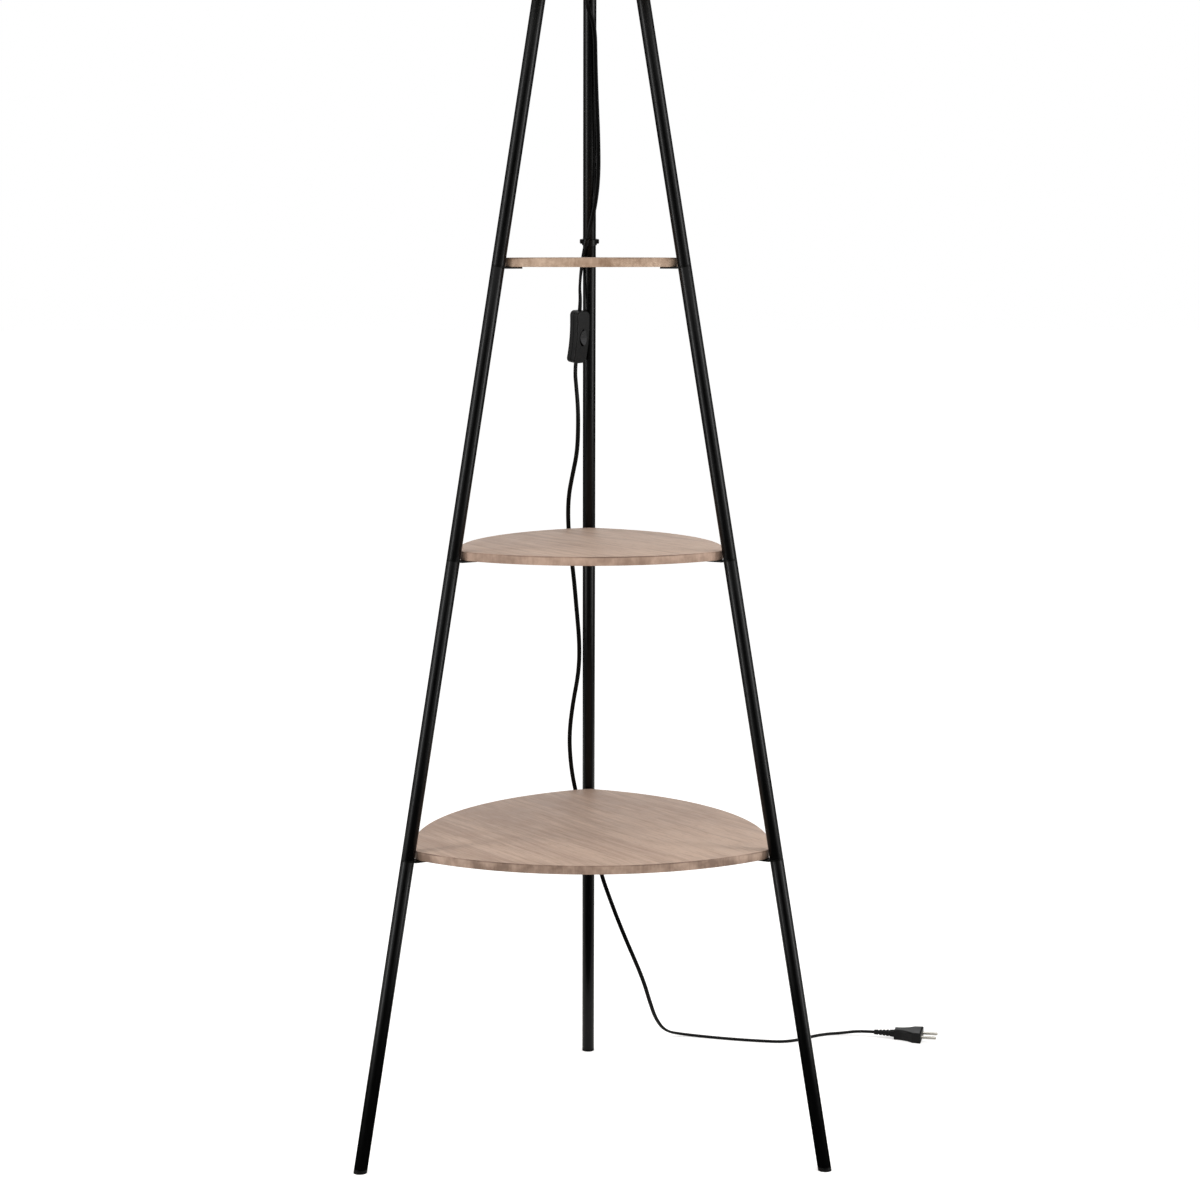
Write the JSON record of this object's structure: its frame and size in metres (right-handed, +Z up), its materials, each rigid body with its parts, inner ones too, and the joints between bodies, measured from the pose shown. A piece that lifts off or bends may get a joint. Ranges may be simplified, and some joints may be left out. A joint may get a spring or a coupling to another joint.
{
  "type": "shelf floor lamp",
  "caption": "Tripod floor lamp with black steel tube legs, wooden shelf boards between them, a drum shade and an in-line rocker switch on its cord.",
  "frame": {"origin": "the point on the floor under the lamp's centre line, midway between the three feet", "axes": "+Z up along the centre line; -Y is the front, +Y runs to the rear leg; +X is the right-hand side seen from the front"},
  "size_m": [0.7183, 0.5587, 1.595],
  "materials": {
    "black_steel": "satin powder coat",
    "zinc_steel": "zinc plated",
    "rubber_black": "matte",
    "oak": "greyed oak, matte lacquer",
    "black_plastic": "satin",
    "black_cable": "satin sheath",
    "porcelain": "unglazed",
    "brass": "bright",
    "nickel_brass": "nickel plated",
    "cotton": "woven cotton on a stiff liner",
    "white_wire": "white coated wire",
    "bulb_metal": "bright",
    "opal_glass": "opal"
  },
  "bodies": {
    "lamp": {"leg_rear_tube_1": "black_steel", "leg_rear_tube_2": "black_steel", "leg_rear_tube_3": "black_steel", "leg_rear_tube_4": "black_steel", "leg_left_tube_1": "black_steel", "leg_left_tube_2": "black_steel", "leg_left_tube_3": "black_steel", "leg_left_tube_4": "black_steel", "leg_right_tube_1": "black_steel", "leg_right_tube_2": "black_steel", "leg_right_tube_3": "black_steel", "leg_right_tube_4": "black_steel", "foot_cap_rear": "rubber_black", "foot_cap_left": "rubber_black", "foot_cap_right": "rubber_black", "tube_inserts": "zinc_steel", "joint_studs": "zinc_steel", "bracket_bottom_rear": "black_steel", "bracket_bottom_left": "black_steel", "bracket_bottom_right": "black_steel", "bracket_middle_rear": "black_steel", "bracket_middle_left": "black_steel", "bracket_middle_right": "black_steel", "bracket_top_rear": "black_steel", "bracket_top_left": "black_steel", "bracket_top_right": "black_steel", "shelf_bottom": "oak", "shelf_middle": "oak", "shelf_top": "oak", "shelf_screws": "black_steel", "leg_head": "black_steel", "lamp_pipe": "zinc_steel", "pipe_nuts": "zinc_steel", "cord_bush": "black_plastic", "holder_cap": "black_plastic", "holder_body": "black_plastic", "holder_insulator": "porcelain", "holder_screw_shell": "brass", "holder_contact": "brass", "holder_leads": "black_cable", "shade_ring": "black_plastic", "shade_cover": "cotton", "shade_upper_ring": "white_wire", "shade_lower_frame": "white_wire", "bulb_cap": "bulb_metal", "bulb_glass": "opal_glass", "cord_upper": "black_cable", "cord_lower": "black_cable", "cord_clip": "black_plastic", "switch_front_case": "black_plastic", "switch_rear_case": "black_plastic", "switch_screws": "zinc_steel", "switch_terminals": "brass", "switch_conductors": "black_cable", "switch_cord_clamps": "black_plastic", "plug_body": "black_plastic", "plug_pins": "nickel_brass"},
    "rocker": {"switch_rocker": "black_plastic", "switch_rocker_contact": "brass"}
  },
  "joints": [
    {"name": "switch_rocker_hinge", "type": "hinge", "parent": "lamp", "child": "rocker", "pos_m": [-0.01011, 0.11385, 0.91228], "axis": [0.7119, 0.7012, 0.0378], "range_deg": [0, 12]}
  ]
}
